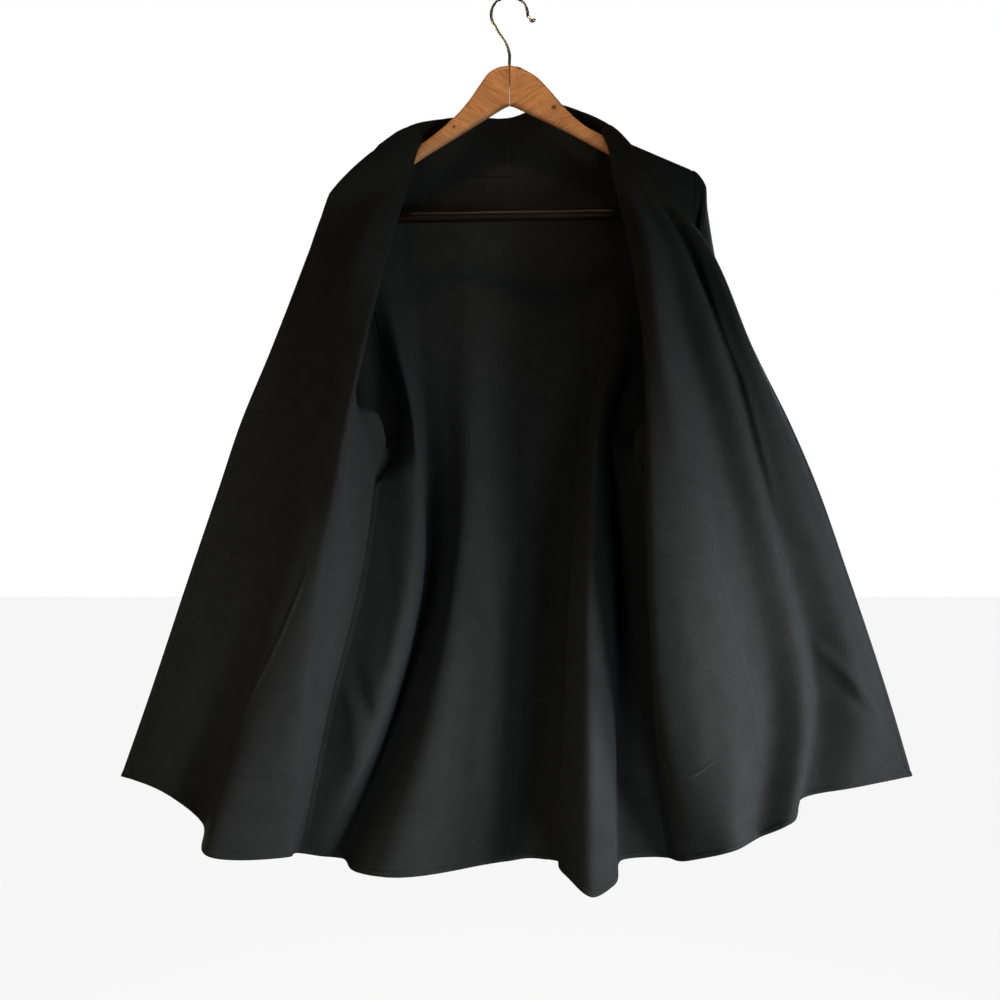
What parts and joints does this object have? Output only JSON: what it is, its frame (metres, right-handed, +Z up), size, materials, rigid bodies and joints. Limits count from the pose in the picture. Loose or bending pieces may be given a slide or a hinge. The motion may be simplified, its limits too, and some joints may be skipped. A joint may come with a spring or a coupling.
{
  "type": "collarless coat on hanger",
  "caption": "Long unlined wool coat with no collar, a narrow standing neck edge and pockets inside, hung wide open on a wooden hanger with a trouser bar and wire hook.",
  "frame": {"origin": "inner top of the hanger's hook, where it rests on a rail", "axes": "+X to the wearer's left, which is the picture's right; +Y away from the viewer, from the open fronts towards the coat's back; +Z up"},
  "size_m": [0.901, 0.2267, 0.9962],
  "materials": {
    "wool": "near-black brushed double-faced wool",
    "pocketing": "black smooth pocket cloth",
    "cedar": "natural red cedar, sanded",
    "dark_wood": "dark stained rod",
    "nickel": "satin nickel-plated wire"
  },
  "bodies": {
    "root": {"front_right": "wool", "front_left": "wool", "back_right": "wool", "back_left": "wool", "sleeve_right": "wool", "sleeve_left": "wool", "pocket_bag_right": "pocketing", "pocket_bag_left": "pocketing", "hanger_arm_right": "cedar", "hanger_arm_left": "cedar", "hanger_bar": "dark_wood", "hanger_hook": "nickel"}
  },
  "joints": []
}
